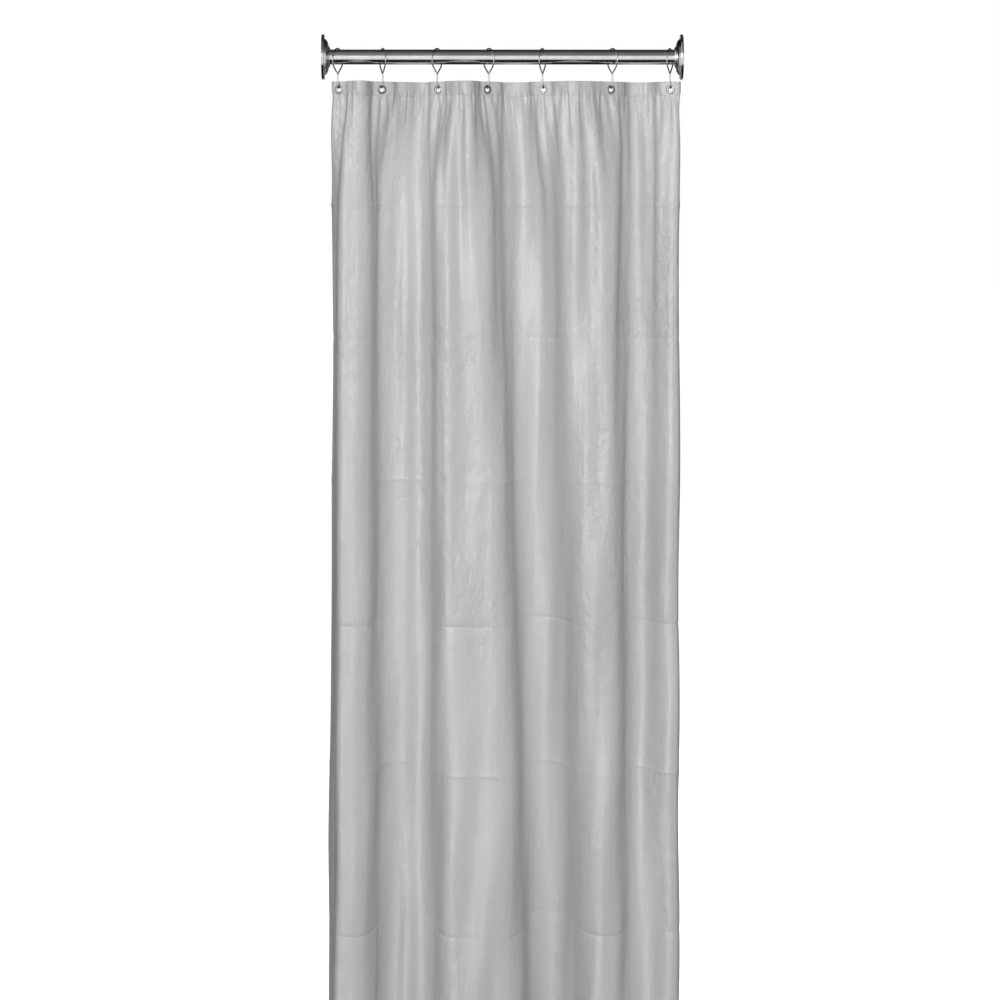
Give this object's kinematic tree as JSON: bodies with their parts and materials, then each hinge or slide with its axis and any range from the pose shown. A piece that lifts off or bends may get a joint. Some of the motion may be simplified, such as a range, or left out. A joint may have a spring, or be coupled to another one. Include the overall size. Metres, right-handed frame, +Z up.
{
  "type": "shower curtain on a wall-to-wall rod",
  "caption": "Vinyl shower curtain gathered on a short straight tube between two round wall flanges, hung from bent-wire hooks through metal grommets.",
  "frame": {"origin": "centre of the left wall plate's wall face, on the rod's axis", "axes": "+X along the rod to the right wall, +Z up, the curtain's front faces -Y"},
  "size_m": [0.61, 0.1061, 1.9081],
  "materials": {
    "bright_tube": "polished",
    "plated_plate": "satin",
    "chromed_cover": "polished",
    "steel_screw": "satin",
    "hook_wire": "gloss",
    "nickel_grommet": "gloss",
    "vinyl_sheet": "matte"
  },
  "bodies": {
    "root": {"rod_tube": "bright_tube", "wall_plate_left": "plated_plate", "wall_plate_right": "plated_plate", "flange_cover_left": "chromed_cover", "flange_cover_right": "chromed_cover", "set_screw_left": "steel_screw", "set_screw_right": "steel_screw"},
    "curtain": {"curtain_panel": "vinyl_sheet"},
    "hook_1_body": {"hook_1": "hook_wire", "grommet_1": "nickel_grommet", "grommet_washer_1": "nickel_grommet"},
    "hook_2_body": {"hook_2": "hook_wire", "grommet_2": "nickel_grommet", "grommet_washer_2": "nickel_grommet"},
    "hook_3_body": {"hook_3": "hook_wire", "grommet_3": "nickel_grommet", "grommet_washer_3": "nickel_grommet"},
    "hook_4_body": {"hook_4": "hook_wire", "grommet_4": "nickel_grommet", "grommet_washer_4": "nickel_grommet"},
    "hook_5_body": {"hook_5": "hook_wire", "grommet_5": "nickel_grommet", "grommet_washer_5": "nickel_grommet"},
    "hook_6_body": {"hook_6": "hook_wire", "grommet_6": "nickel_grommet", "grommet_washer_6": "nickel_grommet"},
    "hook_7_body": {"hook_7": "hook_wire", "grommet_7": "nickel_grommet", "grommet_washer_7": "nickel_grommet"}
  },
  "joints": [
    {"name": "curtain_swing", "type": "hinge", "parent": "root", "child": "curtain", "pos_m": [0, 0, 0], "axis": [1, 0, 0], "range_deg": [-20, 20]},
    {"name": "hook_1_slide", "type": "slide", "parent": "curtain", "child": "hook_1_body", "axis": [1, 0, 0], "range_m": [-0.0022, 0.0005]},
    {"name": "hook_2_slide", "type": "slide", "parent": "curtain", "child": "hook_2_body", "axis": [1, 0, 0], "range_m": [-0.0524, 0.0005]},
    {"name": "hook_3_slide", "type": "slide", "parent": "curtain", "child": "hook_3_body", "axis": [1, 0, 0], "range_m": [-0.1132, 0.0005]},
    {"name": "hook_4_slide", "type": "slide", "parent": "curtain", "child": "hook_4_body", "axis": [1, 0, 0], "range_m": [-0.1708, 0.0005]},
    {"name": "hook_5_slide", "type": "slide", "parent": "curtain", "child": "hook_5_body", "axis": [1, 0, 0], "range_m": [-0.2307, 0.0005]},
    {"name": "hook_6_slide", "type": "slide", "parent": "curtain", "child": "hook_6_body", "axis": [1, 0, 0], "range_m": [-0.3087, 0.0005]},
    {"name": "hook_7_slide", "type": "slide", "parent": "curtain", "child": "hook_7_body", "axis": [1, 0, 0], "range_m": [-0.3725, 0], "deforming": ["curtain_panel"]}
  ],
  "couplings": [
    {"joint": "hook_1_slide", "follows": "hook_7_slide", "ratio": 0.00461},
    {"joint": "hook_2_slide", "follows": "hook_7_slide", "ratio": 0.13926},
    {"joint": "hook_3_slide", "follows": "hook_7_slide", "ratio": 0.30245},
    {"joint": "hook_4_slide", "follows": "hook_7_slide", "ratio": 0.45712},
    {"joint": "hook_5_slide", "follows": "hook_7_slide", "ratio": 0.618},
    {"joint": "hook_6_slide", "follows": "hook_7_slide", "ratio": 0.82743}
  ]
}
